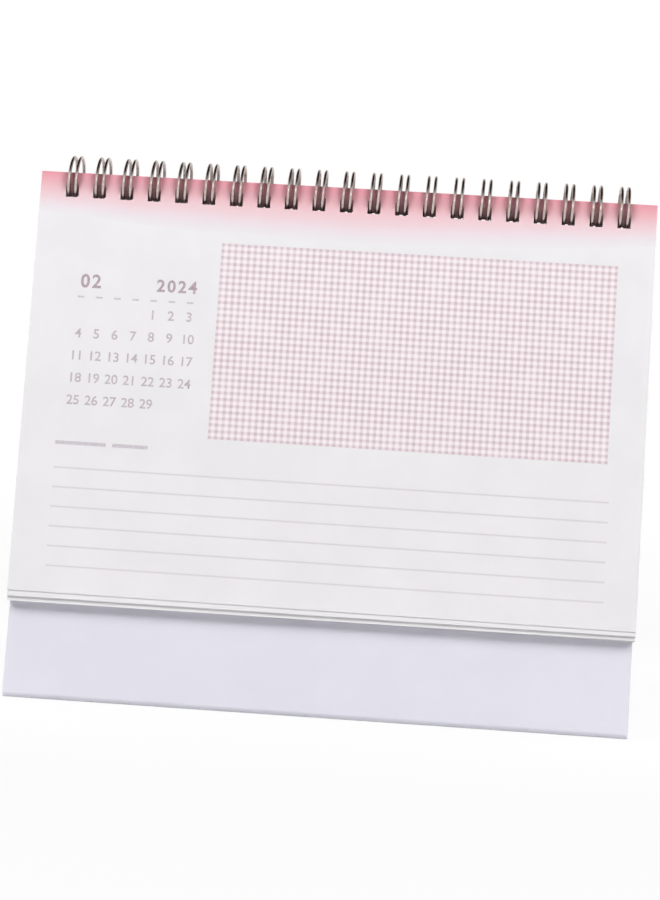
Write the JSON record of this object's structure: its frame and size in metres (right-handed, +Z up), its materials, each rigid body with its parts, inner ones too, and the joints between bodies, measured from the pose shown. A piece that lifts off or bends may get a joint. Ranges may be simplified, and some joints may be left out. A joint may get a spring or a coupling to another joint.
{
  "type": "desk calendar",
  "caption": "Wire-bound desk calendar: month leaves hung by a twin-loop wire on a folded card A-frame stand.",
  "frame": {"origin": "on the desk, under the middle of the wire and of the base panel", "axes": "+X along the wire, to the right of someone reading the leaves; +Y to the back; +Z up"},
  "size_m": [0.189, 0.0804, 0.1622],
  "materials": {
    "stand_card": "matt pale lavender-white card",
    "leaf_paper": "uncoated white paper with pale pink print",
    "wire_coating": "rose-brown coated steel wire, satin"
  },
  "bodies": {
    "stand_body": {"stand": "stand_card", "twin_loop_wire": "wire_coating", "turned_leaves": "leaf_paper"},
    "leaves_body": {"leaf_block": "leaf_paper"}
  },
  "joints": [
    {"name": "leaf_turn", "type": "hinge", "parent": "stand_body", "child": "leaves_body", "pos_m": [0, 0, 0.15497], "axis": [-1, 0, 0], "range_deg": [0, 180]}
  ]
}
